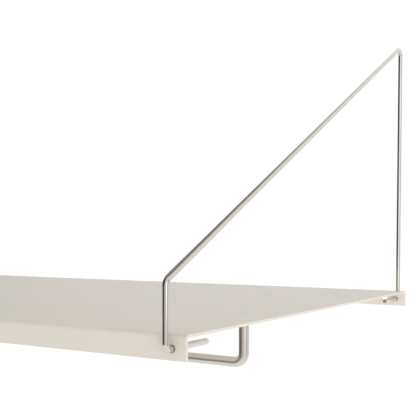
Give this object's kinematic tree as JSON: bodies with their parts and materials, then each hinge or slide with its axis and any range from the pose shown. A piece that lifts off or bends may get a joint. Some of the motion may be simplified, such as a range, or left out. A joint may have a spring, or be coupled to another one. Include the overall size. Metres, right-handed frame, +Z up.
{
  "type": "wall shelf with brackets",
  "caption": "Thin folded steel wall shelf with lipped front and back, hung from bent round-wire triangle brackets near its ends, with a slim hang bar screwed underneath.",
  "frame": {"origin": "midway between the two wall-screw holes, on the outer face of the back lip, at the height of the holes' axes", "axes": "+X along the wall to the right for someone facing the shelf, +Y into the wall, +Z up"},
  "size_m": [0.6, 0.311, 0.2113],
  "materials": {
    "powder_coat": "matt warm-white powder coat",
    "wire_steel": "polished stainless wire",
    "bar_steel": "satin stainless bar",
    "screw_coat": "coated to match the panel"
  },
  "bodies": {
    "shelf": {"shelf_panel": "powder_coat", "hang_bar": "bar_steel", "hang_bar_screw_left": "screw_coat", "hang_bar_screw_right": "screw_coat"},
    "left_wire": {"bracket_left": "wire_steel"},
    "right_wire": {"bracket_right": "wire_steel"}
  },
  "joints": [
    {"name": "bracket_left_swing", "type": "hinge", "parent": "shelf", "child": "left_wire", "pos_m": [-0.2928, -0.15, 0], "axis": [0, -1, 0], "range_deg": [-75, 250]},
    {"name": "bracket_right_swing", "type": "hinge", "parent": "shelf", "child": "right_wire", "pos_m": [0.2928, -0.15, 0], "axis": [0, 1, 0], "range_deg": [-75, 250]}
  ]
}
